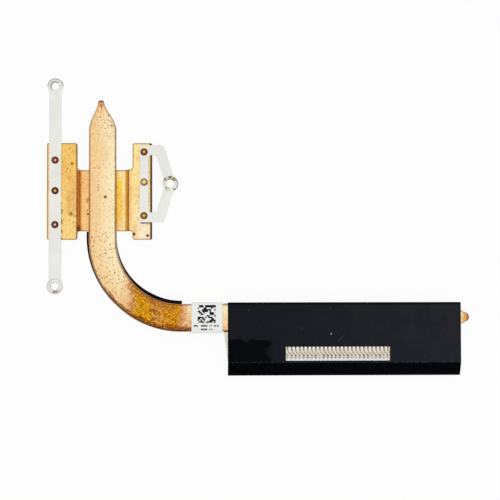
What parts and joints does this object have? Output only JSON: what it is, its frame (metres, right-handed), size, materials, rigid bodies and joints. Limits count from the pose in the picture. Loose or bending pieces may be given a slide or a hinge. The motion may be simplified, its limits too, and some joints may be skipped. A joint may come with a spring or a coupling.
{
  "type": "laptop heat sink",
  "caption": "Flat copper heat pipe, bent and stepped, that carries heat from a stamped cold plate with spring brackets to a film-covered stack of aluminium zipper fins.",
  "frame": {"origin": "centre of the cold plate's flat face that meets the processor", "axes": "+X along the fin stack, +Y towards the pipe's sealed hot end, +Z away from the processor"},
  "size_m": [0.1267, 0.0894, 0.0061],
  "materials": {
    "pipe_copper": "bare copper, satin, with oxide stains",
    "plate_copper": "bare stamped copper",
    "bracket_steel": "nickel plated steel",
    "fin_aluminium": "bare rolled sheet",
    "black_film": "satin polyester film",
    "label_paper": "coated paper"
  },
  "bodies": {
    "root": {"heat_pipe": "pipe_copper", "cold_plate": "plate_copper", "left_bracket": "bracket_steel", "right_bracket": "bracket_steel", "fin_stack": "fin_aluminium", "left_end_fin": "fin_aluminium", "right_end_fin": "fin_aluminium", "cover_film": "black_film", "insulating_tape": "black_film", "pipe_label": "label_paper"}
  },
  "joints": []
}
